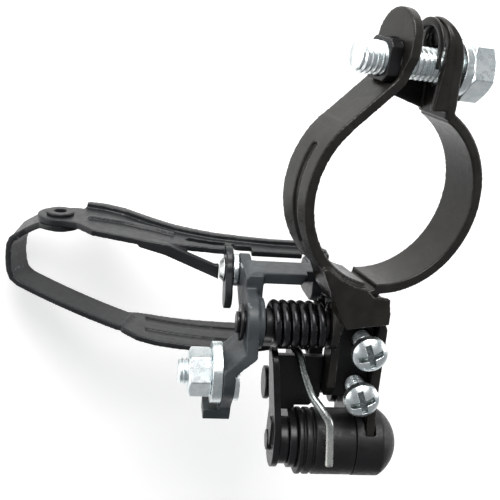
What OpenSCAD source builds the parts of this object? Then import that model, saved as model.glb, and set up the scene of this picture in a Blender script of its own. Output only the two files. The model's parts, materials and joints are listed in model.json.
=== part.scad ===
// Front derailleur with a hinged seat-tube clamp, a four-pivot linkage and a chain cage.
// +Z runs up the seat tube, +X points forwards and +Y points to the left of the bicycle.
// The origin is the centre of the seat-tube clamp. Sizes are in millimetres.

/* [Clamp] */
// Diameter of the seat tube that the clamp grips
tube_d = 31.8; // [31.8:0.1:31.8]
// Height of the clamp band along the tube
band_w = 9.4; // [8.6:0.2:10]
// Sheet thickness of the clamp band
band_t = 1.9; // [1.7:0.1:2]
// Distance from the tube axis to the clamp bolt
bolt_y = 23.5; // [23.4:0.1:23.8]
// Thread diameter of the clamp bolt
bolt_d = 6; // [6:1:6]
// Length of the clamp bolt under its head
bolt_len = 20.6; // [20:0.2:24]
// Slant of the clamp bolt and the fixed ear, in degrees
bolt_slant = 5; // [4:1:5]

/* [Linkage] */
// Tilt of the linkage and cage from the seat tube, in degrees
tilt = 16; // [16:1:16]
// Thickness of the cable arm's steel
arm_t = 2.2; // [2:0.1:2.4]
// Outside diameter of the return spring
spring_od = 9; // [8.8:0.1:9]
// Wire diameter of the return spring
spring_wire = 1.6; // [1.5:0.1:1.6]
// Number of close turns in the return spring
spring_turns = 6; // [5:1:6]
// Radius of the plastic barrel around the outer pivot
barrel_r = 6.5; // [6.2:0.1:6.6]
// Diameter of the pivot pins
pin_d = 4; // [3.8:0.1:4]

/* [Cage] */
// Sheet thickness of the cage plates
cage_t = 1.2; // [1:0.1:1.3]
// Height of the plain strip at the cage's tail
tail_h = 7; // [6.5:0.5:7.5]

/* [Screws] */
// Thread diameter of the limit screws
limit_d = 4; // [4:1:4]
// Thread diameter of the cable anchor bolt
anchor_d = 5; // [5:1:5]

/* [Hidden] */
$fn = 64;

black = [0.06, 0.06, 0.065];
brown_black = [0.11, 0.105, 0.10];
grey_blue = [0.30, 0.33, 0.37];
zinc = [0.78, 0.80, 0.80];
plastic_black = [0.05, 0.05, 0.05];

run_gap = 0.05;            // radial clearance of a pin in its hole
step = 0.1;                // small step where two pressed faces meet

// Clamp
tube_r = tube_d / 2;
ring_r = tube_r + band_t;
fixed_from = 131;          // where the fixed half leaves the circle for its ear, degrees
fixed_to = 256;            // where the fixed half ends at the body, degrees
band_from = -96;           // where the hinged half starts, degrees
band_to = 59;              // where the hinged half leaves the circle for its ear, degrees
left_ear = [26.4, 12];      // centre height and width of the round-topped ears
right_ear = [26.4, 9.4];
left_ear_x = -2.3;
right_ear_x = 7.5;
nut_w = 7.2;
nut_t = 2.4;
washer_x = right_ear_x + band_t + 0.5;
bolt_head_x = washer_x + 1.6;
bolt_head_t = 4.6;
bolt_head_af = 10;
hook_x = -2.2;
hook_y = -18.2;
hook_r = 1.3;
lip_t = 0.9;               // lip in front of the hinge

// Pivots in the linkage frame, as [y, z]
pivot_a = [-25.5, 2];
pivot_b = [-51.2, 0];
link_step = [4.1, -16];
pivot_c = pivot_a + link_step;
pivot_d = pivot_b + link_step;
pin_r = pin_d / 2;

// Stations along the pivot axes, in the linkage frame
arm_x = -23.2;             // outer face of the cable arm link's left ear
arm_right_x = -10.2;       // left face of its right ear
side_x = -17.7;            // side plate's upper end
side_low_x = -15.9;        // side plate at pivot B
side_t = 1.3;
wall_x = 1.95;             // right wall of the body
wall_t = 1.65;
left_wall_x = -6.6;        // left wall of the body
boss_len = 1;              // boss round the spring pin
floor_z = -3;
rim_z = 3.2;
anchor_x = -26.9;          // outer face of the arm where the cable is clamped
anchor_at = [-35.3, 3];
barrel_x0 = -11;
barrel_x1 = 0.05;
ear_t = 1.55;              // ears of the outer link
ear_gap = 0.12;            // side play of the outer link

// Limit screws, as [x, y] in the linkage frame
screw_high = [-0.2, -29];
screw_low = [-0.5, -38.5];
high_tip_z = -3.9;
low_tip_z = -4;
screw_head_z = 5.4;
screw_head_d = 6.6;
screw_head_t = 2.9;

// Cage
cage_half = cage_t / 2;
tail_tilt = 20.5;
rivet_at = [-58.6, -20];
head_r = 4.4;

// ---------- helpers ----------

// Everything on the tilted pivot axes
module linkage() {
    rotate([0, -tilt, 0]) children();
}

// A rod along X from x0 to x1, centred on p = [y, z]
module rod(x0, x1, p, r) {
    translate([x0, p[0], p[1]]) rotate([0, 90, 0]) cylinder(h = x1 - x0, r = r);
}

// A flat outline drawn as [y, z], as thick as x0 to x1
module slab_x(x0, x1) {
    translate([x0, 0, 0]) rotate([90, 0, 90]) linear_extrude(x1 - x0) children();
}

// A flat outline drawn as [x, z], as thick as y0 to y1
module slab_y(y0, y1) {
    translate([0, y1, 0]) rotate([90, 0, 0]) linear_extrude(y1 - y0) children();
}

// A flat outline drawn as [x, y], as thick as z0 to z1
module slab_z(z0, z1) {
    translate([0, 0, z0]) linear_extrude(z1 - z0) children();
}

// Two discs and their common tangents
module bar_outline(p, rp, q, rq) {
    d = q - p;
    turn = atan2(d[1], d[0]);
    open = acos((rp - rq) / norm(d));
    up = [cos(turn + open), sin(turn + open)];
    down = [cos(turn - open), sin(turn - open)];
    translate(p) circle(rp);
    translate(q) circle(rq);
    polygon([p + rp * up, q + rq * up, q + rq * down, p + rp * down]);
}

// A point on a cubic curve
function cubic(a, b, c, d, t) =
    pow(1 - t, 3) * a + 3 * pow(1 - t, 2) * t * b + 3 * (1 - t) * t * t * c + pow(t, 3) * d;

function path_dir(p, i) =
    let (a = p[max(i - 1, 0)], b = p[min(i + 1, len(p) - 1)]) (b - a) / norm(b - a);

// The outline of a strip of width w along the open path p
function strip(p, w) = concat(
    [for (i = [0 : len(p) - 1]) let (d = path_dir(p, i)) p[i] + w / 2 * [-d[1], d[0]]],
    [for (i = [len(p) - 1 : -1 : 0]) let (d = path_dir(p, i)) p[i] - w / 2 * [-d[1], d[0]]]
);

// A part of a ring around Z
module ring_part(r_in, r_out, from, to, h) {
    rotate([0, 0, from]) rotate_extrude(angle = to - from, $fn = 128)
        translate([r_in, -h / 2]) square([r_out - r_in, h]);
}

// A hexagonal prism across flats af, along X, turned by angle
module hex_x(x0, x1, p, af, angle = 0) {
    translate([x0, p[0], p[1]]) rotate([angle, 0, 0]) rotate([0, 90, 0])
        cylinder(h = x1 - x0, r = af / sqrt(3), $fn = 6);
}

// ---------- clamp ----------

// Everything square to the slanted clamp bolt
module on_bolt() {
    translate([ear_mid_x, bolt_y, 0]) rotate([0, 0, -bolt_slant]) translate([-ear_mid_x, -bolt_y, 0]) children();
}

// The upright ear of a clamp half: shape is [height of its round top's centre, width]
module ear(x, root_y, shape) {
    half = shape[1] / 2;
    difference() {
        slab_x(x, x + band_t) {
            translate([shape[0], 0]) circle(half);
            polygon([
                [shape[0], -half], [shape[0], half], [root_y + 2.6, half], [root_y, band_w / 2 - 2 * step],
                [root_y, -band_w / 2 + 2 * step], [root_y + 2.6, -half]
            ]);
        }
        rod(x - 1, x + band_t + 1, [bolt_y - ear_drop(x), 0], bolt_d / 2 + 0.5);
    }
}

// The hinged half's ear is a cup open towards the other ear, with a gusset at its back foot
cup_depth = 3;
cup_t = 1.5;

module cup_outline(root_y, inset) {
    half = right_ear[1] / 2 - inset;
    translate([right_ear[0], 0]) circle(half);
    translate([root_y, -half]) square([right_ear[0] - root_y, 2 * half]);
}

module ear_cup(root_y) {
    difference() {
        slab_x(right_ear_x - cup_depth, right_ear_x + step) difference() {
            cup_outline(root_y, step);
            cup_outline(root_y - 1, cup_t);
        }
        // The cup's open side is drawn back a little towards its foot
        translate([right_ear_x - cup_depth - 1, root_y - 1, -6]) rotate([0, 0, -8]) cube([1, 20, 12]);
    }
    slab_z(-right_ear[1] / 2 + step, -right_ear[1] / 2 + cup_t) polygon([
        [0.7, 17.1], [8.4, 14.4], [9, 15.4], [right_ear_x + 0.4, 21], [right_ear_x - cup_depth, 21], [1.2, 19.6]
    ]);
}

// How far the slanted bolt has dropped where it passes an ear
function ear_drop(x) = x > 0 ? (x + band_t / 2 - ear_mid_x) * tan(bolt_slant) : 0;

// Where the fixed half leaves its circle: a straight run and then a bend up into the ear
mid_r = tube_r + band_t / 2;
leave = [cos(fixed_from), sin(fixed_from)];
leave_dir = [sin(fixed_from), -cos(fixed_from)];
ear_mid_x = left_ear_x + band_t / 2;
run = (ear_mid_x - mid_r * leave[0]) / leave_dir[0];
corner = mid_r * leave + run * leave_dir;
bend_in = corner - 2.2 * leave_dir;
bend_out = corner + [0, 2.2];
arm_path = concat(
    [mid_r * leave - 0.6 * leave_dir],
    [for (i = [0 : 8]) cubic(bend_in, (bend_in + 2 * corner) / 3, (bend_out + 2 * corner) / 3, bend_out, i / 8)]
);

// The fixed clamp half sweeps from its ear round the left of the tube to the body
module fixed_half() {
    difference() {
        union() {
            ring_part(tube_r, ring_r, fixed_from, fixed_to, band_w);
            slab_z(-band_w / 2 + step, band_w / 2 - step) polygon(strip(arm_path, band_t - step));
            on_bolt() ear(left_ear_x, corner[1] + 0.9, left_ear);
        }
        // Long stiffening groove pressed into the outside
        rotate([0, 0, 148]) rotate_extrude(angle = 62, $fn = 128)
            translate([ring_r - 0.7, -0.2]) square([1, 1.6]);
        // Clearance for the bolt and a seat for its square nut
        on_bolt() {
            rod(left_ear_x - nut_t - 2, left_ear_x + band_t + 1, [bolt_y, 0], bolt_d / 2 + 0.4);
            translate([left_ear_x - nut_t - 1, bolt_y - nut_w / 2 - step, -nut_w / 2 - step])
                cube([nut_t + 1, nut_w + 2 * step, nut_w + 2 * step]);
        }
        // Notch pressed into the foot of the ear
        translate(concat(corner + [-1.4, 0.5], 0.6)) rotate([0, 0, 45]) cube([1.6, 1.2, 2.6], center = true);
    }
}

module body_bracket() {
    color(brown_black) difference() {
        union() {
            fixed_half();
            neck();
            linkage() body_channel();
        }
        linkage() rod(left_wall_x - 3, left_wall_x + 4, pivot_a, pin_r);
    }
}

// The neck joins the fixed half to the body and carries the eye for the hinged half
module neck() {
    inner = tube_r + band_t / 2;
    difference() {
        union() {
            slab_z(-band_w / 2 + 2 * step, band_w / 2 - 2 * step) polygon([
                inner * [cos(226), sin(226)], inner * [cos(240), sin(240)],
                inner * [cos(fixed_to - 2), sin(fixed_to - 2)],
                [hook_x - 1.4, hook_y - 1.6], [-3.2, -20.6], [-7.6, -20.6], [-9.6, -17.6]
            ]);
            slab_z(1.2, band_w / 2 - 3 * step) polygon([
                [-9.2, -18], [-3.4, -19], [-0.6, -20.4], [1, -20.8], [1.6, -22.2], [1.6, -24.4], [left_wall_x - 0.9, -24.4], [-8.4, -21.4]
            ]);
            ring_at_hook(hook_r - 0.3, hook_r + 1.3);
            // A lip in front of the eye sweeps on down into the body
            slab_z(band_w / 2 - 4 * step, band_w / 2 + lip_t) polygon([
                ring_r * [cos(222), sin(222)], inner * [cos(226), sin(226)], inner * [cos(236), sin(236)],
                inner * [cos(248), sin(248)], inner * [cos(257), sin(257)], [-2.2, -18], [1.2, -18.7], [1.4, -20],
                [1.7, -21.6], [1.7, -23.8], [left_wall_x - 0.5, -24], [-8.6, -21.4], [-10.6, -17.4]
            ]);
        }
        translate([hook_x, hook_y, -1]) cylinder(h = band_w + 2, r = hook_r + 0.12, center = true);
        ring_part(tube_r - 2, tube_r + step, fixed_to - 32, fixed_to + 20, band_w + 2);
    }
}

// The eye is open towards the tube, where the hinged half leaves it
module ring_at_hook(r_in, r_out) {
    translate([hook_x, hook_y, 0]) ring_part(r_in, r_out, 140, 350, band_w - 2 * step);
}

// A deep channel open to the front, with the two limit screws through its floor
module body_channel() {
    width = wall_x + wall_t - left_wall_x;
    difference() {
        union() {
            slab_x(left_wall_x, left_wall_x + wall_t) wall_outline(-40.8);
            slab_x(wall_x, wall_x + wall_t) {
                wall_outline(-45);
                bar_outline([-40, 0.05], 3, pivot_b, 5.4);
            }
            slab_z(floor_z, floor_z + 1.8) translate([left_wall_x, -41.2]) square([width, 18]);
            slab_z(floor_z, rim_z - 0.2) translate([left_wall_x + 0.2, -24.8]) square([width - 0.4, 1.7]);
            // Boss for the spring pin
            rod(left_wall_x - boss_len, left_wall_x + 0.5, pivot_a, 4.4);
        }
        rod(wall_x - 1, wall_x + 4, pivot_b, pin_r);
        for (s = [screw_high, screw_low]) {
            translate([s[0], s[1], floor_z - 1]) cylinder(h = 4, r = limit_d / 2 + run_gap);
        }
        // Rounded shoulder
        slab_z(floor_z - 1, rim_z + 1) translate([wall_x + wall_t, -23.1])
            polygon([[0.2, 0.2], [-2.8, 0.2], [-1.6, -0.4], [-0.5, -1.4], [0.2, -3]]);
        // Slots pressed through the right wall
        for (y = [-33.6, -42.4]) {
            translate([wall_x - 1, y, 0.8]) cube([4, 2.4, 1.2]);
        }
    }
}

module wall_outline(low_y) {
    polygon([
        [-23.4, floor_z], [-23.4, rim_z - 0.6], [-24.6, rim_z], [low_y + 3, rim_z],
        [low_y, rim_z - 2.4], [low_y, floor_z]
    ]);
}

module clamp_band() {
    color(brown_black) {
        ring_part(tube_r, ring_r, band_from, band_to, band_w);
        ear(right_ear_x, 14.1, right_ear);
        ear_cup(15.6);
        // Hooked end that turns in the eye of the neck
        translate([hook_x, hook_y, 0]) cylinder(h = band_w - 2 * step, r = hook_r, center = true);
        // Small pressed pip on the outside
        rotate([0, 0, 4]) translate([ring_r - 0.1, 0, 1]) sphere(r = 0.8);
    }
}

module clamp_bolt() {
    color(zinc) on_bolt() {
        rod(bolt_head_x - bolt_len, bolt_head_x + 1, [bolt_y, 0], bolt_d / 2 - run_gap);
        hex_x(bolt_head_x, bolt_head_x + bolt_head_t, [bolt_y, 0], bolt_head_af, 10);
    }
}

module lock_washer() {
    color(zinc) on_bolt() difference() {
        rod(washer_x, bolt_head_x, [bolt_y, 0], 5.1);
        rod(right_ear_x, bolt_head_x + 1, [bolt_y, 0], bolt_d / 2);
        translate([washer_x + 0.8, bolt_y + 4, 0]) rotate([25, 0, 0]) cube([4, 6, 0.8], center = true);
    }
}

module clamp_nut() {
    color(black) on_bolt() difference() {
        intersection() {
            translate([left_ear_x - nut_t, bolt_y - nut_w / 2, -nut_w / 2]) cube([nut_t, nut_w, nut_w]);
            rod(left_ear_x - nut_t - 1, left_ear_x + 1, [bolt_y, 0], 4.3);
        }
        rod(left_ear_x - nut_t - 1, left_ear_x + 1, [bolt_y, 0], bolt_d / 2);
    }
}

// ---------- body fittings ----------

// The plate leans inwards from the spring down to the outer pivot
module side_plate() {
    color(black) linkage() difference() {
        union() {
            intersection() {
                slab_z(-8, 8) polygon([
                    [side_x, -30], [side_low_x, -46.5], [side_low_x, -58],
                    [side_low_x + side_t, -58], [side_low_x + side_t, -46.4], [side_x + side_t, -30]
                ]);
                slab_x(side_x - 1, side_low_x + 3) bar_outline([-34.6, 0.2], 3.4, pivot_b, 5.2);
            }
            // Drawn boss that spaces the plate from the link
            rod(side_low_x + 0.4, outer_left_x - ear_gap, pivot_b, 4.6);
            // Shelf between the side plate and the body
            slab_z(floor_z - 0.2, floor_z + 1.4) polygon([
                [side_x + 0.8, -33.8], [side_low_x + 0.6, -45.4], [-12, -45.4], [-11.4, -44.4],
                [-8.6, -44.4], [left_wall_x, -42.4], [left_wall_x, -33.8]
            ]);
            // Small stop lug on the outside
            translate([side_low_x - 0.6, -50.6, 0.6]) cube([1.2, 5, 2.6]);
        }
        rod(side_low_x - 2, side_low_x + 5, pivot_b, pin_r);
    }
}

// Plastic block on the channel's floor that grips both limit screws
module screw_block() {
    color(plastic_black) linkage() difference() {
        slab_z(floor_z + 1.8, floor_z + 3.4) translate([left_wall_x + wall_t, -41])
            square([wall_x - left_wall_x - wall_t, 15.4]);
        for (s = [screw_high, screw_low]) {
            translate([s[0], s[1], floor_z]) cylinder(h = 6, r = limit_d / 2 + run_gap);
        }
    }
}

// Pan-head screw with a cross recess
module limit_screw(at, tip_z) {
    color(zinc) linkage() translate([at[0], at[1], 0]) difference() {
        union() {
            translate([0, 0, tip_z]) cylinder(h = screw_head_z - tip_z + 0.5, r = limit_d / 2);
            intersection() {
                translate([0, 0, screw_head_z]) cylinder(h = screw_head_t, r = screw_head_d / 2);
                translate([0, 0, screw_head_z + screw_head_t - 4.6]) sphere(r = 4.6);
            }
        }
        for (turn = [20, 110]) {
            translate([0, 0, screw_head_z + screw_head_t]) rotate([0, 0, turn])
                cube([4.6, 1.1, 2.8], center = true);
        }
    }
}

module limit_screw_high() {
    limit_screw(screw_high, high_tip_z);
}

module limit_screw_low() {
    limit_screw(screw_low, low_tip_z);
}

// Spring pin, fixed in the body's boss
module pin_a() {
    color(black) linkage() difference() {
        rod(arm_x - 1.6, left_wall_x + wall_t - 0.1, pivot_a, pin_r);
        difference() {
            rod(arm_x - 1.0, arm_x - 0.3, pivot_a, pin_r + 1);
            rod(arm_x - 2.0, arm_x, pivot_a, pin_r - 0.5);
        }
    }
}

// A spring clip in a pin's groove, open at one side
module clip(x, p) {
    difference() {
        rod(x, x + 0.6, p, 3.5);
        rod(x - 1, x + 2, p, pin_r - 0.45);
        translate([x + 0.3, p[0], p[1]]) rotate([-30, 0, 0]) translate([0, -3.5, 0]) cube([2, 7, 2.2], center = true);
    }
}

module clips() {
    color(black) linkage() clip(arm_x - 0.95, pivot_a);
}

// Outer pivot pin through the side plate, the link, the barrel and the right wall
module pin_b() {
    color(black) linkage() rod(side_low_x - 0.8, wall_x + wall_t + 0.4, pivot_b, pin_r);
}

module barrel() {
    color(plastic_black) linkage() difference() {
        rod(barrel_x0, barrel_x1, pivot_b, barrel_r);
        rod(barrel_x0 - 1, barrel_x1 + 1, pivot_b, pin_r);
        for (x = [barrel_x0 + 0.9, barrel_x0 + 2.6]) {
            difference() {
                rod(x, x + 0.6, pivot_b, barrel_r + 1);
                rod(x - 1, x + 2, pivot_b, barrel_r - 0.5);
            }
        }
    }
}

// The link's position on pivot B when it has swung by a, as [y, z]
function swung(a) = pivot_b + [
    link_step[0] * cos(a) + link_step[1] * sin(a), link_step[1] * cos(a) - link_step[0] * sin(a)
];

// Domed plastic cap over the link's ear and the end of the right wall
module end_cap() {
    cap_x0 = barrel_x1 + 0.1;
    cap_x1 = wall_x + wall_t + 1;
    color(plastic_black) linkage() difference() {
        union() {
            rod(cap_x0, cap_x1, pivot_b, barrel_r + 0.1);
            translate([cap_x1, pivot_b[0], pivot_b[1]]) rotate([0, 90, 0]) rotate_extrude($fn = 96) intersection() {
                square([barrel_r + 0.1, 6]);
                translate([0, -3.4]) circle(7.8);
            }
        }
        rod(cap_x0 - 1, cap_x1 - 0.4, pivot_b, 5.72);
        slab_x(wall_x - 0.15, wall_x + wall_t + 0.15) bar_outline([-38, 0.2], 3.5, pivot_b, 5.6);
        for (a = [0 : 10 : 50]) {
            slab_x(cap_x0 - 1, wall_x) bar_outline(pivot_b, 5.5, swung(a), 4.4);
        }
    }
}

// ---------- return spring ----------

spring_r = (spring_od - spring_wire) / 2;
spring_x0 = arm_x + arm_t + 2.7;
spring_x1 = left_wall_x - boss_len - 0.1 - spring_wire / 2;
spring_pitch = (spring_x1 - spring_x0) / spring_turns;

// The coil starts under its axis and climbs towards +X, turning from +Y towards +Z
coil_steps = 18;
coil_n = floor(spring_turns * coil_steps);

function coil_point(i) =
    let (a = -100 + i * 360 / coil_steps)
    [spring_x0 + spring_pitch * i / coil_steps,
     pivot_a[0] + spring_r * cos(a), pivot_a[1] + spring_r * sin(a)];

// The long leg lies along the barrel's front
long_leg = [
    [-5.3, -52, 7.4], [-6, -45, 7.4], [-6.4, -42.8, 7.1], [-7.7, -41, 6], [-9.4, -39.2, 4],
    [-10.9, -35.9, 2], [-11.8, -32.9, 0.4], [-12.8, -31.6, -0.8], [-14.4, -30.4, -2.1],
    [-16.2, -29.2, -3], [-17.4, -28.4, -2.9], [-18.3, -27.4, -2.3]
];
// The short leg reaches for the web of the cable arm link
coil_end = coil_point(coil_n);
short_leg = [coil_end + [0, 1.4, 0], coil_end + [0, 5.2, -0.1]];
spring_path = concat(long_leg, [for (i = [0 : coil_n]) coil_point(i)], short_leg);

// A closed tube along a path, with rings square to it
module tube(p, r, sides) {
    n = len(p);
    rings = [for (i = [0 : n - 1])
        let (
            t0 = p[min(i + 1, n - 1)] - p[max(i - 1, 0)],
            t = t0 / norm(t0),
            u0 = cross(t, [1, 0.02, 0.05]),
            u = u0 / norm(u0),
            v = cross(t, u)
        )
        [for (k = [0 : sides - 1]) p[i] + r * (cos(360 * k / sides) * u + sin(360 * k / sides) * v)]];
    points = [for (ring = rings) for (q = ring) q];
    sides_faces = [for (i = [0 : n - 2]) for (k = [0 : sides - 1])
        [i * sides + k, (i + 1) * sides + k, (i + 1) * sides + (k + 1) % sides, i * sides + (k + 1) % sides]];
    polyhedron(points, concat(
        sides_faces,
        [[for (k = [0 : sides - 1]) k]],
        [[for (k = [sides - 1 : -1 : 0]) (n - 1) * sides + k]]
    ));
}

module return_spring() {
    color(black) linkage() tube(spring_path, spring_wire / 2, 10);
}

// Plastic sleeve that keeps the coil round its pin
module spring_bush() {
    color(plastic_black) linkage() difference() {
        rod(arm_x + arm_t + 1.4, left_wall_x - boss_len, pivot_a, spring_r - spring_wire / 2 - 0.15);
        rod(arm_x, left_wall_x, pivot_a, pin_r);
    }
}

// ---------- links ----------

web_top = -16.9;
web_t = 2.1;
web_z0 = -8;
web_z1 = -3;
web_bend_r = 2;
// Finger that meets the high limit screw when the link has swung out: centre and lean
finger_at = [-22.5, -5.2];
finger_lean = 50;

// The cable arm link: two ears, a web, the cable arm and a stop finger
module cable_arm_link() {
    color(grey_blue) linkage() difference() {
        union() {
            // Left ear
            slab_x(arm_x, arm_x + arm_t) {
                bar_outline(pivot_a, 5.2, pivot_c, 3.4);
                polygon([
                    [pivot_a[0] + 1, pivot_a[1] + 4.8], [web_top - 2, web_z1 + 1.2], [web_top, web_z1 - 0.6],
                    [web_top, web_z0], [pivot_c[0] + 2, pivot_c[1] + 2.4], [pivot_a[0], -4]
                ]);
            }
            // Hub behind the left ear, with its rib up to the web
            rod(arm_x, arm_x + arm_t + 1.1, pivot_a, 4.7);
            slab_z(web_z0 + 1, -0.6) translate([arm_x, -23.4]) square([arm_t + 1.1, 23.4 + web_top - 0.4]);
            // Right ear
            slab_x(arm_right_x, arm_right_x + 2) {
                bar_outline(pivot_c, 3.4, [-20.6, -6.4], 3.2);
                polygon([
                    [-20.6, -3.4], [web_top, web_z1], [web_top, web_z0], [pivot_c[0] + 2, pivot_c[1] + 2.6]
                ]);
            }
            translate([arm_right_x + 1, finger_at[0], finger_at[1]]) rotate([finger_lean, 0, 0])
                translate([0, -1.5, -0.9]) cube([10.4, 3, 1.8]);
            // Web, deeper towards the front beside the left ear
            slab_z(web_z0, web_z1) translate([arm_x, web_top - web_t])
                square([arm_right_x + 2 - arm_x, web_t]);
            slab_z(web_z1 - 1, web_z1 + 1.8) polygon([
                [arm_x, web_top], [arm_x, web_top - web_t], [-12.6, web_top - web_t], [-11.6, web_top]
            ]);
            cable_arm();
        }
        // Rounded bend between the web and the left ear
        slab_z(web_z0 - 2, 2) translate([arm_x, web_top]) difference() {
            translate([-1, 1 - web_bend_r]) square(web_bend_r + 1);
            translate([web_bend_r, -web_bend_r]) circle(web_bend_r);
            translate([-2, -web_bend_r - 1]) square([1, 2]);
        }
        rod(arm_x - 1, arm_x + arm_t + 2, pivot_a, pin_r + run_gap);
        rod(arm_x - 1, arm_right_x + 3, pivot_c, pin_r + run_gap);
        rod(anchor_x - 1, anchor_x + 4, anchor_at, anchor_d / 2);
    }
}

// The arm steps outwards from the ear to the cable anchor and ends in a guide hook
module cable_arm() {
    intersection() {
        slab_z(-6, 12) polygon([
            [arm_x, -22], [arm_x, -29.2], [anchor_x, -32.6], [anchor_x, -42.2], [-29.8, -42.2],
            [-29.8, -44.4], [anchor_x + arm_t, -44.4], [anchor_x + arm_t, -33],
            [arm_x + arm_t, -30], [arm_x + arm_t, -22]
        ]);
        slab_x(-31, -20) {
            bar_outline(pivot_a, 5.2, anchor_at + [1, 0], 6.2);
            polygon([
                [-34, -2.4], [-40.6, -0.6], [-44.4, -0.2], [-44.4, 4.4], [-41.6, 5], [-37, 8.6]
            ]);
        }
    }
}

// The outer link straddles the barrel on pivot B and carries the cage at pivot D
outer_left_x = barrel_x0 - ear_gap - ear_t;
outer_right_x = barrel_x1 + ear_gap;
outer_web_y = -57.2;

module outer_link() {
    color(black) linkage() difference() {
        union() {
            for (x = [outer_left_x, outer_right_x]) {
                slab_x(x, x + ear_t) {
                    bar_outline(pivot_b, 5.3, pivot_d, 3.6);
                    polygon([[outer_web_y, -14], [outer_web_y, -8], [-53, -4], [-46, -12], [-49, -17]]);
                }
            }
            // Web on the outboard side, clear of the barrel
            slab_z(-14, -8) translate([outer_left_x, outer_web_y])
                square([outer_right_x + ear_t - outer_left_x, 1.5]);
            // Drawn hub at pivot D
            rod(outer_left_x - 1.9, outer_left_x + 0.2, pivot_d, 3.2);
            // Stop tab under the low limit screw
            slab_x(outer_right_x, outer_right_x + ear_t) polygon([
                [-47, -1.6], [-41.6, low_tip_z - 0.1], [-36.8, low_tip_z - 0.1], [-36.8, low_tip_z - 1.7],
                [-42, low_tip_z - 1.7], [-48, -6]
            ]);
            slab_z(low_tip_z - 1.7, low_tip_z - 0.1) translate([-1.9, -40.4])
                square([outer_right_x + ear_t + 1.9, 3.6]);
        }
        for (p = [pivot_b, pivot_d]) {
            rod(barrel_x0 - 5, barrel_x1 + 4, p, pin_r + run_gap);
        }
    }
}

// Rivet-headed pin that joins the cage to the cable arm link
module pin_c() {
    color(zinc) linkage() {
        rod(arm_x - 3.8, bridge_x[0] + cage_t + 0.3, pivot_c, pin_r);
        rod(arm_x - 3.8, arm_x - 2.9, pivot_c, pin_r + 0.5);
    }
}

module spacer_c() {
    color(zinc) linkage() difference() {
        rod(arm_x - 1.2, arm_x - 0.15, pivot_c, 3.2);
        rod(arm_x - 2, arm_x + 1, pivot_c, pin_r);
    }
}

module pin_d_rod() {
    color(black) linkage() {
        rod(outer_left_x - 2.4, outer_right_x + ear_t + 1, pivot_d, pin_r);
        rod(outer_left_x - 3, outer_left_x - 2, pivot_d, pin_r + 1.5);
    }
}

// ---------- cage ----------

curve_steps = 12;

// Plan of the inner plate, as [x, y], from the tail forwards
inner_path = concat(
    [[-63, -14], [-59, -14], [-55.4, -14]],
    [for (i = [1 : curve_steps]) cubic([-55, -14], [-48, -15], [-40, -17.2], [-28, -18], i / curve_steps)],
    [[-20, -18.2], [-10, -18.3], [-1, -18.3]]
);

// Plan of the outer plate's front part
outer_path = concat(
    [for (i = [0 : curve_steps]) cubic([-45.6, -34.2], [-38, -36.2], [-30, -37], [-20, -37.2], i / curve_steps)],
    [[-10, -37.2], [1, -37.2]]
);

module cage_inner_plate() {
    color(black) linkage() difference() {
        union() {
            intersection() {
                slab_z(-34, -8) polygon(strip(inner_path, cage_t));
                slab_y(-24, -8) inner_side();
            }
            // Flange along the lower edge
            intersection() {
                slab_z(-34, -8) polygon(strip([for (p = inner_path) p + [0, 0.5]], cage_t + 0.9));
                slab_y(-24, -6) inner_rim();
            }
            // Bead pressed along the middle
            intersection() {
                slab_z(-34, -8) polygon(strip([for (p = inner_path) p + [0, 0.3]], cage_t + 0.5));
                slab_y(-24, -6) polygon([
                    [-53, -18.4], [-46, -20], [-40, -19.8], [-36, -18.8], [-36, -19.9], [-40, -21],
                    [-46, -21.2], [-53, -19.6]
                ]);
            }
            // Diagonal branch to the pivot tab
            slab_z(-14.2, -12.8) polygon([
                [-44, -15.4], [-43, -17.2], [-38, -18.6], [-27, -23.2], [-24.4, -23.2], [-24.4, -19.8],
                [-28, -20.2], [-37.4, -16.4]
            ]);
            cage_tab(arm_x - 2.8, arm_x - 1.3, -18);
            slab_x(arm_x - 2.8, arm_x - 1.3) bar_outline([-20, -14.6], 3.2, [-25.4, -11.8], 3.1);
        }
        rod(arm_x - 4, -4, pivot_c, pin_r);
        // Room for the link's ears to swing
        for (x = [[arm_x - 1.25, arm_x + arm_t + 0.3], [arm_right_x - 0.3, arm_right_x + 2.3]]) {
            slab_x(x[0], x[1]) translate([-24, pivot_c[1] - 3.8]) square([9, 9]);
        }
        slab_y(-20, -8) translate(rivet_at) circle(1.9);
        rivet_holes();
    }
}

// A tab that stands out from the inner plate, at root_y, round pivot C
module cage_tab(x0, x1, root_y) {
    slab_x(x0, x1) {
        intersection() {
            translate(pivot_c) circle(3.4);
            translate([root_y - 12, pivot_c[1] - 5]) square([12, 10]);
        }
        polygon([
            [root_y, -19], [root_y, -15.2], [pivot_c[0] + 1, pivot_c[1] + 3.2], [pivot_c[0], pivot_c[1] - 3.4]
        ]);
    }
}

// Side view of the inner plate, as [x, z]
module inner_side() {
    difference() {
        union() {
            translate(rivet_at) circle(head_r);
            polygon([
                [-58.6, -24.2], [-54.4, -24.6], [-53.6, -26.8], [-50, -28], [-46, -28], [-41, -25.8], [-36, -23.8], [-26, -21.8],
                [-16, -20.4], [-8, -20.4], [-8, -18.8], [-5, -18.6], [-5, -15], [-30, -15],
                [-36, -14.2], [-44, -12.8], [-52, -12.2], [-55, -14.6], [-58.6, -15.8]
            ]);
        }
        // Window in the plate
        polygon([[-34, -17.6], [-24, -17], [-24, -18.8], [-33, -19.8]]);
    }
}

module inner_rim() {
    polygon([
        [-53.8, -25.2], [-53.6, -26.8], [-50, -28], [-46, -28], [-41, -25.8], [-36, -23.8], [-26, -21.8],
        [-16, -20.4], [-9, -20.4], [-9, -19], [-16, -19], [-26, -20.2], [-36, -21.8], [-41, -23.6],
        [-46, -25.8], [-50, -26]
    ]);
}

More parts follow.
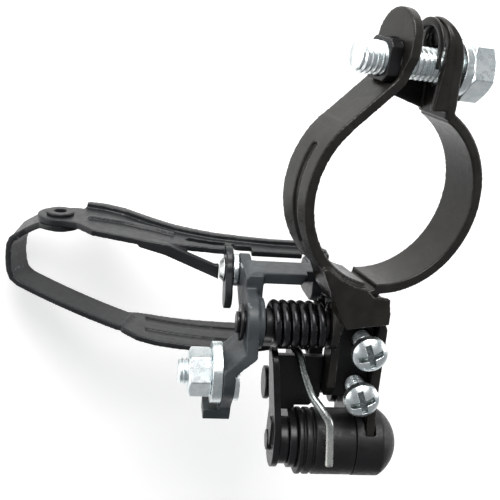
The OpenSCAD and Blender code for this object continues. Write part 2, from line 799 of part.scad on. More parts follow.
module cage_outer_plate() {
    color(black) linkage() difference() {
        union() {
            difference() {
                intersection() {
                    slab_z(-34, -4) polygon(strip(outer_path, cage_t));
                    slab_y(-44, -28) outer_side();
                }
                // Long pressed channels
                for (z = [-13, -18.4]) {
                    intersection() {
                        slab_z(z - 1, z + 1) polygon(strip([for (p = outer_path) p + [0, 0.62]], 0.7));
                        slab_y(-44, -28) translate([-41, -30]) square([36, 30]);
                    }
                }
            }
            tail();
            for (x = [barrel_x0 + 0.15, barrel_x1 - 1.55]) {
                slab_x(x, x + 1.4) {
                    translate(pivot_d) circle(3.8);
                    polygon([[-36.8, -20], [-36.8, -12.4], [pivot_d[0], -12.2], [pivot_d[0], -19.8]]);
                }
            }
        }
        rod(barrel_x0 - 2, barrel_x1 + 2, pivot_d, pin_r);
        slab_y(-20, -8) translate(rivet_at) circle(1.9);
        rivet_holes();
    }
}

module outer_side() {
    polygon([
        [-46.4, -12], [-42.6, -9.6], [-38.6, -9], [-22, -9.6], [-14, -12.6], [-4.8, -12.8], [-4, -16],
        [-0.2, -16.4], [-0.2, -22.8], [-12, -23], [-26, -22.4], [-40.6, -21.4], [-43, -20.8], [-46.4, -19]
    ]);
}

// The plain tail strip turns across to the inner plate and laps onto it
tail_pivot = [-45.6, -15.6];

module tail() {
    translate([tail_pivot[0], 0, tail_pivot[1]]) rotate([0, -tail_tilt, 0]) {
        slab_z(-tail_h / 2, tail_h / 2) polygon(strip(concat(
            [[1.4, -33.9]],
            [for (i = [0 : 8]) cubic([0.4, -34.1], [-8, -32.6], [-16, -30.4], [-21.4, -28.6], i / 8)],
            [[-22.8, -27.6], [-23.4, -26], [-23.6, -23.6], [-23.4, -20.8], [-22.8, -19.4], [-21.6, -18.4]]
        ), cage_t));
    }
    // Lap under the inner plate's round head
    intersection() {
        slab_z(-30, -14) polygon(strip([
            [-67.6, -19.4], [-66.2, -18.2], [-63.6, -16.3], [-62.2, -15.45], [-60.4, -15.25], [-54.8, -15.25]
        ], cage_t));
        slab_y(-24, -8) {
            translate(rivet_at) circle(head_r - 0.2);
            polygon([[-66.4, -26.8], [-58.6, -24], [-58.6, -16], [-65.4, -20.4], [-68.6, -20.8]]);
        }
    }
}

// The bridge crosses above pin C and is riveted to both plates
bridge_x = [-7.8, -5];
bridge_z = -11.6;
bridge_rivet_x = -6.4;
inner_flange_y = -18.9 - cage_t;
outer_flange_y = -37.8 - cage_t;

module cage_bridge() {
    width = bridge_x[1] - bridge_x[0];
    color(black) linkage() difference() {
        union() {
            slab_z(bridge_z, bridge_z + cage_t) translate([bridge_x[0], outer_flange_y])
                square([width, inner_flange_y + cage_t - outer_flange_y]);
            slab_z(-18.6, bridge_z + 1) translate([bridge_x[0], inner_flange_y]) square([width, cage_t]);
            slab_z(-22.4, bridge_z + 1) translate([bridge_x[0], outer_flange_y]) square([width, cage_t]);
            // Tab that carries the front end of pin C
            cage_tab(bridge_x[0], bridge_x[0] + cage_t, inner_flange_y + cage_t - 0.1);
        }
        rod(bridge_x[0] - 1, bridge_x[1], pivot_c, pin_r);
        rivet_holes();
    }
}

module rivet_holes() {
    slab_y(-22, -15) translate([bridge_rivet_x, -17]) circle(1);
    for (z = [-17, -20.4]) {
        slab_y(-42, -35) translate([bridge_rivet_x, z]) circle(1);
    }
}

module bridge_rivets() {
    color(black) linkage() {
        rivet(-20.4, -17.3, -17);
        rivet(-39.5, -36.2, -17);
        rivet(-39.5, -36.2, -20.4);
    }
}

module rivet(y0, y1, z) {
    slab_y(y0, y1) translate([bridge_rivet_x, z]) circle(1);
}

// Hollow rivet at the tail
module tail_rivet() {
    color(black) linkage() difference() {
        union() {
            slab_y(-16.4, -13) translate(rivet_at) circle(1.9);
            slab_y(-13.38, -12.8) translate(rivet_at) circle(2.7);
            slab_y(-16.4, -15.9) translate(rivet_at) circle(2.7);
        }
        slab_y(-18, -12) translate(rivet_at) circle(1.2);
    }
}

// ---------- cable anchor ----------

module anchor_bolt() {
    color(zinc) linkage() {
        rod(anchor_x - 8, anchor_x + arm_t + 0.5, anchor_at, anchor_d / 2);
        rod(anchor_x + arm_t, anchor_x + arm_t + 1.1, anchor_at + [-1.6, 0], 3.8);
    }
}

module anchor_washer() {
    color(zinc) linkage() difference() {
        rod(anchor_x - 1.9, anchor_x, anchor_at, 5.7);
        rod(anchor_x - 3, anchor_x + 1, anchor_at, anchor_d / 2);
    }
}

module anchor_nut() {
    color(zinc) linkage() difference() {
        hex_x(anchor_x - 6.1, anchor_x - 1.9, anchor_at, 8);
        rod(anchor_x - 8, anchor_x, anchor_at, anchor_d / 2 + run_gap);
    }
}

body_bracket();
clamp_band();
clamp_bolt();
lock_washer();
clamp_nut();
side_plate();
screw_block();
limit_screw_high();
limit_screw_low();
pin_a();
clips();
pin_b();
barrel();
end_cap();
return_spring();
spring_bush();
cable_arm_link();
outer_link();
pin_c();
pin_d_rod();
spacer_c();
cage_inner_plate();
cage_outer_plate();
cage_bridge();
bridge_rivets();
tail_rivet();
anchor_bolt();
anchor_washer();
anchor_nut();
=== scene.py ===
"""Looks for a front derailleur: a hinged seat-tube clamp, a four-pivot linkage and a chain cage.

Every visible piece is made from its CAD node's own shape, so it keeps the node's place and size. Pressed steel gets
soft painted edges, fasteners get threads and chamfers, and the spring is swept again as a round wire.
Lengths in the shape code are in millimetres; meshes are in metres.
"""

import json
import math

import bmesh
import bpy
import numpy as np
from mathutils import Matrix, Vector


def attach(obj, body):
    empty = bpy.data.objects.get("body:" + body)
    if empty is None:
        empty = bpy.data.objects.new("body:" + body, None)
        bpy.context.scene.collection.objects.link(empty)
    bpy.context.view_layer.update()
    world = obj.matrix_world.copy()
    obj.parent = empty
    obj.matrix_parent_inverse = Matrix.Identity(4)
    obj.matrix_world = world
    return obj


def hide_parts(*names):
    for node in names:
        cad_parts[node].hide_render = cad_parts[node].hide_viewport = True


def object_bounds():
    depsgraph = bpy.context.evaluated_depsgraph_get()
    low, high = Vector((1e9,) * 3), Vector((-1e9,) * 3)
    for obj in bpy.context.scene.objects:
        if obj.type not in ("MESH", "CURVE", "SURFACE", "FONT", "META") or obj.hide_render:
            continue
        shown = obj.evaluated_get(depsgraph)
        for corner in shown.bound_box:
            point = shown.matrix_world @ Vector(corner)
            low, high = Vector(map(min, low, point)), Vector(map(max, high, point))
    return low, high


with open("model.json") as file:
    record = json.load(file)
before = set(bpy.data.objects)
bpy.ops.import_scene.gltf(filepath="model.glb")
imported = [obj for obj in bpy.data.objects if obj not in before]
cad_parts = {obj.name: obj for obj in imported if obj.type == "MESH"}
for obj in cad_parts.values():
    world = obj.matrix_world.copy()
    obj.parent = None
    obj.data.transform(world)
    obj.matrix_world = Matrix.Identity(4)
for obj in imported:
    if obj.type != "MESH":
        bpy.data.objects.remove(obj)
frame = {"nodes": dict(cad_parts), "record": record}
cad_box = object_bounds()

MM = 0.001
SLOT = {p["node"]: p["material_slot"] for p in frame["record"]["subparts"]}
BODY = {n: b for b, group in frame["record"]["behaviour"]["bodies"].items() for n in group}

# ---------- frames ----------

TILT = math.radians(16)          # the pivots and the limit screws are tilted by this from the seat tube
BOLT_SLANT = math.radians(5)     # the clamp bolt is turned by this about Z
BOLT_TURN_AT = Vector((-1.35, 23.5, 0))
TUBE_FRAME = Matrix.Identity(4)
LINK_FRAME = Matrix.Rotation(-TILT, 4, "Y")
BOLT_FRAME = (
    Matrix.Translation(BOLT_TURN_AT) @ Matrix.Rotation(-BOLT_SLANT, 4, "Z") @ Matrix.Translation(-BOLT_TURN_AT)
)


def local_points(node, place):
    """The node's vertices in millimetres, in the frame place."""
    mesh = frame["nodes"][node].data
    co = np.empty(len(mesh.vertices) * 3)
    mesh.vertices.foreach_get("co", co)
    inverse = np.array(place.inverted())
    return co.reshape(-1, 3) / MM @ inverse[:3, :3].T + inverse[:3, 3]


def local_box(node, place):
    co = local_points(node, place)
    return co.min(0), co.max(0)


# ---------- materials ----------


class Tree:
    """A material's node tree with a Principled shader."""

    def __init__(self, name, rough, metallic=0.0, specular=0.5, coat=0.0, coat_rough=0.2):
        self.mat = bpy.data.materials.new(name)
        self.mat.use_nodes = True
        self.nodes = self.mat.node_tree.nodes
        self.links = self.mat.node_tree.links
        self.shader = self.nodes["Principled BSDF"]
        self.shader.inputs["Metallic"].default_value = metallic
        self.shader.inputs["Roughness"].default_value = rough
        self.shader.inputs["Specular IOR Level"].default_value = specular
        self.shader.inputs["Coat Weight"].default_value = coat
        self.shader.inputs["Coat Roughness"].default_value = coat_rough
        self.place = self.nodes.new("ShaderNodeTexCoord").outputs["Object"]

    def noise(self, size_mm, detail=3.0, stretch=(1, 1, 1)):
        """Noise with blotches of about size_mm."""
        mapping = self.nodes.new("ShaderNodeMapping")
        mapping.inputs["Scale"].default_value = stretch
        self.links.new(self.place, mapping.inputs["Vector"])
        n = self.nodes.new("ShaderNodeTexNoise")
        n.inputs["Scale"].default_value = 1 / (size_mm * MM)
        n.inputs["Detail"].default_value = detail
        self.links.new(mapping.outputs["Vector"], n.inputs["Vector"])
        return n.outputs["Fac"]

    def ramp(self, value, lo, hi, out_lo, out_hi):
        m = self.nodes.new("ShaderNodeMapRange")
        m.interpolation_type = "SMOOTHSTEP"
        for key, v in (("From Min", lo), ("From Max", hi), ("To Min", out_lo), ("To Max", out_hi)):
            m.inputs[key].default_value = v
        self.links.new(value, m.inputs["Value"])
        return m.outputs["Result"]

    def mix(self, factor, a, b):
        """Colour a where factor is 0 and b where it is 1. Each is a colour or a socket."""
        m = self.nodes.new("ShaderNodeMix")
        m.data_type = "RGBA"
        self.links.new(factor, m.inputs["Factor"])
        for key, c in (("A", a), ("B", b)):
            socket = [s for s in m.inputs if s.name == key and s.type == "RGBA"][0]
            if isinstance(c, tuple):
                socket.default_value = (*c, 1)
            else:
                self.links.new(c, socket)
        return [s for s in m.outputs if s.type == "RGBA"][0]

    def blend_values(self, factor, a, b):
        m = self.nodes.new("ShaderNodeMix")
        self.links.new(factor, m.inputs["Factor"])
        self.links.new(a, m.inputs["A"])
        self.links.new(b, m.inputs["B"])
        return m.outputs["Result"]

    def multiply(self, a, b):
        m = self.nodes.new("ShaderNodeMath")
        m.operation = "MULTIPLY"
        self.links.new(a, m.inputs[0])
        self.links.new(b, m.inputs[1])
        return m.outputs["Value"]

    def edges(self, lo=0.53, hi=0.60):
        """1 on convex edges and 0 on flat faces."""
        return self.ramp(self.nodes.new("ShaderNodeNewGeometry").outputs["Pointiness"], lo, hi, 0, 1)

    def colour(self, socket):
        self.links.new(socket, self.shader.inputs["Base Color"])

    def rough(self, socket):
        self.links.new(socket, self.shader.inputs["Roughness"])

    def bump(self, height, distance_mm, strength=0.5):
        b = self.nodes.new("ShaderNodeBump")
        b.inputs["Strength"].default_value = strength
        b.inputs["Distance"].default_value = distance_mm * MM
        self.links.new(height, b.inputs["Height"])
        self.links.new(b.outputs["Normal"], self.shader.inputs["Normal"])


def painted(name, dark, light, worn, rough, spread=0.05, peel_mm=0.5, bump_mm=0.006, coat=0.0):
    """Paint over pressed steel: blotchy sheen, a faint orange peel, and edges rubbed a little brighter."""
    t = Tree(name, rough, specular=0.3, coat=coat)
    cloud = t.noise(3.5, 4)
    base = t.mix(t.ramp(cloud, 0.35, 0.65, 0, 1), dark, light)
    rub = t.multiply(t.edges(), t.ramp(t.noise(1.6, 5), 0.42, 0.62, 0, 1))
    t.colour(t.mix(rub, base, worn))
    t.rough(t.ramp(t.noise(1.1, 5), 0.3, 0.7, rough - spread, rough + spread))
    t.bump(t.noise(peel_mm, 2), bump_mm)
    return t.mat


def zinc():
    """Bright zinc plating: faint blue-grey clouds and patches of duller plating."""
    t = Tree("zinc_plate", 0.3, metallic=1.0)
    t.colour(t.mix(t.ramp(t.noise(1.4, 4), 0.35, 0.65, 0, 1), (0.74, 0.80, 0.82), (0.88, 0.92, 0.93)))
    t.rough(t.ramp(t.noise(0.9, 5), 0.3, 0.7, 0.26, 0.34))
    t.bump(t.noise(0.7, 2), 0.002)
    return t.mat


def spring_wire():
    """Black wire along the coil that turns grey and then bright steel down the long leg: the leg's paler colours
    are a painted reflection of the bright floor.
    """
    t = Tree("spring_steel", 0.3, metallic=1.0)
    axes = t.nodes.new("ShaderNodeSeparateXYZ")
    t.links.new(t.place, axes.inputs["Vector"])
    leg = t.ramp(axes.outputs["Y"], -36 * MM, -31 * MM, 1, 0)
    # painted reflection: the wire fades to grey between Y = -31 and -36 mm and to bright steel between Y = -39 and
    # -47 mm
    leg_reflection_mask = t.ramp(axes.outputs["Y"], -47 * MM, -39 * MM, 1, 0)
    black = t.mix(t.noise(0.8, 4), (0.020, 0.020, 0.021), (0.06, 0.06, 0.063))
    leg_half_lit = t.mix(t.noise(0.6, 5), (0.15, 0.165, 0.16), (0.30, 0.32, 0.31))
    steel = t.mix(t.noise(0.5, 4), (0.66, 0.67, 0.63), (0.86, 0.87, 0.82))
    t.colour(t.mix(leg_reflection_mask, t.mix(leg, black, leg_half_lit), steel))
    t.rough(t.ramp(t.noise(0.4, 5), 0.3, 0.7, 0.24, 0.42))
    t.bump(t.noise(0.2, 3), 0.01)
    return t.mat


def recess_shade_plating():
    """The floor and walls of a screw's cross recess: darker, duller grey plating that paints the shade in the
    recess.
    """
    t = Tree("zinc_recess_shade", 0.45, metallic=1.0)
    t.colour(t.mix(t.ramp(t.noise(0.4, 4), 0.35, 0.65, 0, 1), (0.20, 0.23, 0.23), (0.38, 0.42, 0.42)))
    t.rough(t.ramp(t.noise(0.5, 4), 0.3, 0.7, 0.4, 0.55))
    t.bump(t.noise(0.4, 3), 0.004)
    return t.mat


def pin_steel():
    """The cage pin: bright at the low-X end and dark from there on, changing between X = -21 and -18.5 mm."""
    t = Tree("pin_steel", 0.3, metallic=1.0)
    axes = t.nodes.new("ShaderNodeSeparateXYZ")
    t.links.new(t.place, axes.inputs["Vector"])
    dark = t.ramp(axes.outputs["X"], -21 * MM, -18.5 * MM, 0, 1)
    t.colour(t.mix(dark, (0.78, 0.80, 0.80), (0.05, 0.05, 0.05)))
    t.rough(t.ramp(t.noise(0.5, 5), 0.3, 0.7, 0.22, 0.42))
    t.bump(t.noise(0.3, 3), 0.01)
    return t.mat


def plastic():
    """Satin moulded plastic with a fine spark-eroded grain."""
    t = Tree("black_plastic", 0.45, specular=0.32)
    t.colour(t.mix(t.noise(2.5, 3), (0.004, 0.004, 0.0045), (0.008, 0.008, 0.0085)))
    t.rough(t.ramp(t.noise(0.8, 5), 0.3, 0.7, 0.36, 0.55))
    t.bump(t.noise(0.18, 4), 0.02)
    return t.mat


MATERIALS = {
    "clamp_steel": painted(
        "clamp_steel", (0.010, 0.009, 0.008), (0.015, 0.014, 0.012), (0.05, 0.046, 0.042), 0.32, peel_mm=0.7
    ),
    "black_steel": painted("black_steel", (0.005, 0.005, 0.0055), (0.009, 0.009, 0.010), (0.05, 0.05, 0.05), 0.32),
    "cage_steel": painted("cage_steel", (0.009, 0.010, 0.011), (0.014, 0.015, 0.016), (0.07, 0.075, 0.08), 0.36),
    "grey_paint": painted("grey_paint", (0.030, 0.035, 0.039), (0.042, 0.048, 0.053), (0.12, 0.13, 0.14), 0.40),
    "zinc_plate": zinc(),
    "spring_steel": spring_wire(),
    "black_plastic": plastic(),
    "pin_steel": pin_steel(),
    # painted shade for the screws' cross recesses
    "zinc_recess_shade": recess_shade_plating(),
}
for node, obj in frame["nodes"].items():
    obj.data.materials.clear()
    obj.data.materials.append(MATERIALS[SLOT[node]])

# ---------- shapes ----------


def add_piece(name, mesh, node, material=None):
    """Shows mesh, in metres in the row frame, instead of the CAD node."""
    mesh.materials.clear()
    mesh.materials.append(MATERIALS[material or SLOT[node]])
    mesh.shade_smooth()
    obj = bpy.data.objects.new(name, mesh)
    bpy.context.scene.collection.objects.link(obj)
    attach(obj, BODY[node])
    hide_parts(node)
    return obj


def join(mesh, verts, faces):
    """Adds a second closed shell to the mesh."""
    bm = bmesh.new()
    bm.from_mesh(mesh)
    added = [bm.verts.new(v) for v in verts]
    for f in faces:
        bm.faces.new([added[i] for i in f])
    bm.to_mesh(mesh)
    bm.free()


def soft_copy(node, place, voxel, smooth=3, shape=None, material=None, rod=None):
    """The node's shape with rounded edges: a fine even mesh in the frame place, smoothed, then changed by shape.
    rod is a threaded rod's vertices and faces to add."""
    mesh = frame["nodes"][node].data.copy()
    to_local = Matrix.Diagonal((1 / MM,) * 3).to_4x4()
    mesh.transform(place.inverted() @ to_local)
    work = bpy.data.objects.new("work", mesh)
    bpy.context.scene.collection.objects.link(work)
    weld = work.modifiers.new("weld", "WELD")
    weld.merge_threshold = 0.001
    remesh = work.modifiers.new("remesh", "REMESH")
    remesh.mode = "VOXEL"
    remesh.voxel_size = voxel
    if smooth:
        relax = work.modifiers.new("smooth", "SMOOTH")
        relax.factor = 0.5
        relax.iterations = smooth
    done = bpy.data.meshes.new_from_object(work.evaluated_get(bpy.context.evaluated_depsgraph_get()))
    bpy.data.objects.remove(work)
    if shape:
        co = np.empty(len(done.vertices) * 3)
        done.vertices.foreach_get("co", co)
        co = shape(co.reshape(-1, 3))
        done.vertices.foreach_set("co", co.ravel())
    if rod:
        join(done, *rod)
    done.transform(Matrix.Diagonal((MM,) * 3).to_4x4() @ place)
    done.update()
    return add_piece(node + "_finished", done, node, material)


def around(co, centre, axis):
    """Each point's distance along the axis, its radius and its angle about it. axis is 0 for X or 2 for Z."""
    u, v = [k for k in (0, 1, 2) if k != axis]
    du, dv = co[:, u] - centre[0], co[:, v] - centre[1]
    return co[:, axis], np.hypot(du, dv), np.arctan2(dv, du), (u, v)


def set_radius(co, centre, uv, old, new):
    ratio = new / np.maximum(old, 1e-9)
    for k, c in zip(uv, centre):
        co[:, k] = c + (co[:, k] - c) * ratio


THREAD_SIDES = 40
THREAD_RINGS = 12                # rings per pitch


def threaded_rod(centre, axis, span, radius, pitch, depth):
    """A closed rod along the axis with a helical thread. Its first end is chamfered."""
    n = int((span[1] - span[0]) / pitch * THREAD_RINGS)
    u, v = [k for k in (0, 1, 2) if k != axis]
    verts, faces = [], []
    for i in range(n + 1):
        along = span[0] + (span[1] - span[0]) * i / n
        for k in range(THREAD_SIDES):
            a = 2 * math.pi * k / THREAD_SIDES
            wave = abs(2 * ((along / pitch - k / THREAD_SIDES) % 1) - 1)
            r = radius - depth * min(max((wave - 0.15) / 0.7, 0), 1)
            r = min(r, radius - depth - 0.1 + (along - span[0]))
            p = [0, 0, 0]
            p[axis], p[u], p[v] = along, centre[0] + r * math.cos(a), centre[1] + r * math.sin(a)
            verts.append(p)
    for i in range(n):
        for k in range(THREAD_SIDES):
            a, b = i * THREAD_SIDES + k, i * THREAD_SIDES + (k + 1) % THREAD_SIDES
            faces.append((a, b, b + THREAD_SIDES, a + THREAD_SIDES))
    faces.append(range(THREAD_SIDES)[::-1])
    faces.append(range(n * THREAD_SIDES, (n + 1) * THREAD_SIDES))
    return verts, faces


def core(co, centre, axis, span, radius, inner):
    """Thins a rod's mesh to the radius inner within span, so that the threaded rod covers it."""
    along, r, _, uv = around(co, centre, axis)
    hit = (along > span[0]) & (along < span[1]) & (r < radius + 0.2)
    set_radius(co, centre, uv, r, np.where(hit, np.minimum(r, inner), r))
    ends = hit & (along < span[0] + 1.2)
    co[:, axis] = np.where(ends, np.maximum(along, span[0] + 1), along)


def chamfer(co, centre, axis, end, side, start, slope=1.7):
    """Rounds off the corners at an end of a head: start is the radius there, and side is 1 if the body is above."""
    along, r, _, uv = around(co, centre, axis)
    inside = (along - end) * side
    limit = start + np.maximum(inside, 0) * slope
    near = (inside < 3) & (inside > -0.5)
    set_radius(co, centre, uv, r, np.where(near, np.minimum(r, limit), r))


# Pressed steel and plastic
for node, place, voxel, smooth in [
    ("body_bracket", LINK_FRAME, 0.22, 5),
    ("clamp_nut", BOLT_FRAME, 0.15, 9),
    ("side_plate", LINK_FRAME, 0.16, 3),
    ("screw_block", LINK_FRAME, 0.2, 3),
    ("cable_arm_link", LINK_FRAME, 0.2, 7),
    ("outer_link", LINK_FRAME, 0.2, 3),
    ("cage_inner_plate", LINK_FRAME, 0.18, 5),
    ("cage_outer_plate", LINK_FRAME, 0.18, 6),
    ("cage_bridge", LINK_FRAME, 0.18, 3),
    ("pin_a", LINK_FRAME, 0.14, 4),
    ("clips", LINK_FRAME, 0.1, 3),
    ("pin_b", LINK_FRAME, 0.14, 4),
    ("barrel", LINK_FRAME, 0.16, 4),
    ("end_cap", LINK_FRAME, 0.16, 4),
    ("spring_bush", LINK_FRAME, 0.18, 3),
    ("pin_d_rod", LINK_FRAME, 0.14, 4),
    ("bridge_rivets", LINK_FRAME, 0.1, 4),
    ("tail_rivet", LINK_FRAME, 0.1, 4),
    ("lock_washer", BOLT_FRAME, 0.12, 3),
    ("spacer_c", LINK_FRAME, 0.12, 3),
    ("anchor_washer", LINK_FRAME, 0.12, 4),
]:
    soft_copy(node, place, voxel, smooth)


BOLT_BOX = local_box("clamp_bolt", BOLT_FRAME)
BOLT_CENTRE = (BOLT_TURN_AT.y, 0)
BOLT_HEAD = 4.6
BOLT_SPAN = (BOLT_BOX[0][0], BOLT_BOX[1][0] - BOLT_HEAD)


def clamp_bolt_shape(co):
    core(co, BOLT_CENTRE, 0, (BOLT_SPAN[0] - 0.5, BOLT_SPAN[1] - 0.3), 2.95, 2.2)
    chamfer(co, BOLT_CENTRE, 0, BOLT_BOX[1][0], -1, 4.75)
    chamfer(co, BOLT_CENTRE, 0, BOLT_SPAN[1], 1, 5.1)
    return co


HEAD_SPHERE_R = 4.6
HEAD_SPHERE_DOWN = 1.7           # the sphere's centre below the head's underside


def paint_recess_shade(screw, centre, head_z):
    """Gives the faces that lie well below the head's domed top the recess material, a painted shade in the cross
    recess.
    """
    screw.data.materials.append(MATERIALS["zinc_recess_shade"])
    to_local = LINK_FRAME.inverted() @ Matrix.Diagonal((1 / MM,) * 3).to_4x4()
    for face in screw.data.polygons:
        p = to_local @ face.center
        r2 = (p.x - centre[0]) ** 2 + (p.y - centre[1]) ** 2
        if r2 < 2.5**2 and head_z + 0.5 < p.z:
            top = head_z - HEAD_SPHERE_DOWN + math.sqrt(HEAD_SPHERE_R**2 - r2)
            if p.z < top - 0.22:
                face.material_index = 1


def limit_screw(node):
    """A limit screw: its pan head with the cross recess stays, and its stem gets an M4 thread."""
    lo, hi = local_box(node, LINK_FRAME)
    centre = (lo[:2] + hi[:2]) / 2
    span = (lo[2], hi[2] - 2.8)

    def shape(co):
        core(co, centre, 2, (span[0] - 0.5, span[1] - 0.2), 2.0, 1.4)
        return co

    screw = soft_copy(node, LINK_FRAME, 0.1, 3, shape, rod=threaded_rod(centre, 2, span, 1.99, 0.7, 0.38))
    paint_recess_shade(screw, centre, span[1])


ANCHOR = (local_box("anchor_nut", LINK_FRAME)[0] + local_box("anchor_nut", LINK_FRAME)[1])[1:] / 2
ANCHOR_END = local_box("anchor_bolt", LINK_FRAME)[0][0]
ANCHOR_SPAN = (ANCHOR_END, ANCHOR_END + 7.4)


def anchor_bolt_shape(co):
    core(co, ANCHOR, 0, (ANCHOR_SPAN[0] - 0.5, ANCHOR_SPAN[1] - 0.3), 2.5, 1.7)
    return co


def anchor_nut_shape(co):
    lo, hi = local_box("anchor_nut", LINK_FRAME)
    chamfer(co, ANCHOR, 0, lo[0], 1, 3.85)
    chamfer(co, ANCHOR, 0, hi[0], -1, 4.05)
    return co


def clamp_band_shape(co):
    """Draws the cup-shaped ear together towards its top."""
    x0, y0, top = 4.5, 23.5, 31.1
    x, y = co[:, 0], co[:, 1]
    squeeze = 0.58 * np.clip((y - y0) / (top - y0), 0, 1) ** 2
    co[:, 0] = np.where((x > 3) & (y > y0), x0 + (x - x0) * (1 - squeeze), x)
    return co


def pin_c_shape(co):
    lo, hi = local_box("pin_c", LINK_FRAME)
    chamfer(co, (lo[1:] + hi[1:]) / 2, 0, lo[0], 1, 1.7, 1.0)
    return co


soft_copy("clamp_bolt", BOLT_FRAME, 0.13, 3, clamp_bolt_shape, rod=threaded_rod(BOLT_CENTRE, 0, BOLT_SPAN, 2.94, 1, 0.52))
limit_screw("limit_screw_high")
limit_screw("limit_screw_low")
soft_copy("anchor_bolt", LINK_FRAME, 0.12, 2, anchor_bolt_shape, rod=threaded_rod(ANCHOR, 0, ANCHOR_SPAN, 2.49, 0.8, 0.44))
soft_copy("anchor_nut", LINK_FRAME, 0.12, 3, anchor_nut_shape)
soft_copy("clamp_band", TUBE_FRAME, 0.22, 5, clamp_band_shape)
soft_copy("pin_c", LINK_FRAME, 0.12, 3, pin_c_shape, material="pin_steel")

# ---------- return spring ----------

WIRE_R = 0.8
WIRE_SIDES = 16
COIL_STEPS = 28
COIL_TURNS = 6
COIL_R = 3.7
COIL_X = (-18.3, -8.5)           # first and last turn's centre along the pivot
COIL_AT = (-25.5, 2)             # the spring pin, as (y, z)
COIL_START = -100                # degrees
LONG_LEG = [
    (-5.3, -52, 7.4), (-6, -45, 7.4), (-6.4, -42.8, 7.1), (-7.7, -41, 6), (-9.4, -39.2, 4), (-10.9, -35.9, 2),
    (-11.8, -32.9, 0.4), (-12.8, -31.6, -0.8), (-14.4, -30.4, -2.1), (-16.2, -29.2, -3), (-17.4, -28.4, -2.9),
    (-18.3, -27.4, -2.3),
]
SHORT_LEG = [(0, 1.4, 0), (0, 5.2, -0.1)]   # from the end of the coil


def rounded(points, steps):
    """A smooth curve through the points."""
    p = [Vector(q) for q in points]
    p = [p[0] * 2 - p[1], *p, p[-1] * 2 - p[-2]]
    out = []
    for a, b, c, d in zip(p, p[1:], p[2:], p[3:]):
        for i in range(steps):
            s = i / steps
            out.append(
                0.5 * (2 * b + (c - a) * s + (2 * a - 5 * b + 4 * c - d) * s**2 + (3 * b - a - 3 * c + d) * s**3)
            )
    return out + [p[-2]]


def coil():
    n = COIL_TURNS * COIL_STEPS
    for i in range(n + 1):
        a = math.radians(COIL_START + 360 * i / COIL_STEPS)
        yield Vector((
            COIL_X[0] + (COIL_X[1] - COIL_X[0]) * i / n,
            COIL_AT[0] + COIL_R * math.cos(a),
            COIL_AT[1] + COIL_R * math.sin(a),
        ))


def wire(path, radius, sides):
    """A closed round tube along the path, closed with flat ends."""
    ends = 4
    normal = Vector((1, 0.02, 0.05))
    verts, faces = [], []
    stations = []
    for i, p in enumerate(path):
        t = (path[min(i + 1, len(path) - 1)] - path[max(i - 1, 0)]).normalized()
        normal = (normal - t * normal.dot(t)).normalized()
        stations.append((p, t, normal.copy(), radius))
    first, last = stations[0], stations[-1]
    start_cap, end_cap = [], []
    for k in range(ends):
        a = math.pi / 2 * (k + 0.35) / ends
        inset, r = radius * 0.4 * (1 - math.sin(a)), radius * (0.55 + 0.45 * math.sin(a))
        start_cap.append((first[0] - first[1] * 0.0 + first[1] * inset, first[1], first[2], r))
        end_cap.insert(0, (last[0] - last[1] * inset, last[1], last[2], r))
    rings = start_cap[::-1][:0] + stations
    for p, t, n, r in rings:
        side = t.cross(n)
        for k in range(sides):
            a = 2 * math.pi * k / sides
            verts.append(p + r * (math.cos(a) * n + math.sin(a) * side))
    for i in range(len(rings) - 1):
        for k in range(sides):
            m = (k + 1) % sides
            faces.append((i * sides + k, i * sides + m, (i + 1) * sides + m, (i + 1) * sides + k))
    faces.append(tuple(range(sides))[::-1])
    faces.append(tuple((len(rings) - 1) * sides + k for k in range(sides)))
    return verts, faces


turns = list(coil())
tail = [turns[-1] + Vector(q) for q in SHORT_LEG]
path = rounded(LONG_LEG, 8)[:-1] + turns + rounded([turns[-1], *tail], 6)[1:]
verts, faces = wire(path, WIRE_R, WIRE_SIDES)
mesh = bpy.data.meshes.new("return_spring_wire")
mesh.from_pydata([LINK_FRAME @ v * MM for v in verts], [], faces)
mesh.update()
add_piece("return_spring_wire", mesh, "return_spring")

# ---------- floor, light and camera ----------

box_lo, box_hi = cad_box
centre = (box_lo + box_hi) / 2


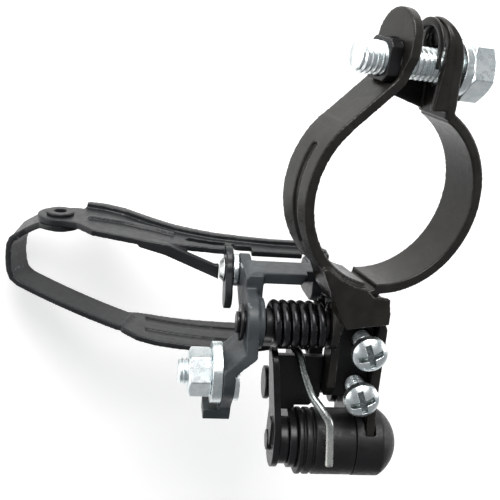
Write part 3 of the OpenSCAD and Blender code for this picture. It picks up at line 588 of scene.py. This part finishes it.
def studio_floor():
    mesh = bpy.data.meshes.new("floor")
    half, z = 12, box_lo.z - 1.5 * MM
    mesh.from_pydata([(-half, -half, z), (half, -half, z), (half, half, z), (-half, half, z)], [], [(0, 1, 2, 3)])
    obj = bpy.data.objects.new("floor", mesh)
    bpy.context.scene.collection.objects.link(obj)
    t = Tree("floor_paper", 0.9, specular=0.1)
    t.colour(t.mix(t.noise(6, 3), (0.78, 0.78, 0.77), (0.82, 0.82, 0.81)))
    t.bump(t.noise(0.6, 3), 0.01)
    t.shader.inputs["Emission Color"].default_value = (1, 1, 1, 1)
    t.shader.inputs["Emission Strength"].default_value = 0.5
    mesh.materials.append(t.mat)


def area(name, offset, size, power, colour=(1, 1, 1)):
    """A square softbox at offset millimetres from the object's centre, facing it."""
    light = bpy.data.lights.new(name, "AREA")
    light.size = size * MM
    light.energy = power
    light.color = colour
    obj = bpy.data.objects.new(name, light)
    obj.location = centre + Vector(offset) * MM
    obj.rotation_euler = (centre - obj.location).to_track_quat("-Z", "Y").to_euler()
    bpy.context.scene.collection.objects.link(obj)


studio_floor()
area("key", (-40, 470, 260), 360, 4.2, (1, 0.995, 0.98))
area("left_fill", (-520, 40, 60), 260, 0.9, (0.97, 0.99, 1))
area("right_fill", (420, 60, 160), 220, 0.6, (0.98, 0.99, 1))

world = bpy.data.worlds.new("studio")
world.use_nodes = True
world.node_tree.nodes["Background"].inputs["Color"].default_value = (0.95, 0.98, 1, 1)
world.node_tree.nodes["Background"].inputs["Strength"].default_value = 0.3
bpy.context.scene.world = world
bpy.context.scene.view_settings.view_transform = "Standard"

CAMERA_AT = Vector((-83.8, 41.7, 134.0)) * MM
CAMERA_RIGHT = Vector((0.924, 0.086, 0.372))
CAMERA_UP = Vector((0.049, 0.940, -0.339))
CAMERA_BACK = Vector((-0.379, 0.331, 0.864))
lens = bpy.data.cameras.new("camera")
lens.sensor_width = 36
lens.lens = 64.8
lens.clip_start = 0.005
camera = bpy.data.objects.new("camera", lens)
turn = Matrix((CAMERA_RIGHT, CAMERA_UP, CAMERA_BACK)).transposed().to_4x4()
camera.matrix_world = Matrix.Translation(CAMERA_AT) @ turn
bpy.context.scene.collection.objects.link(camera)
bpy.context.scene.camera = camera
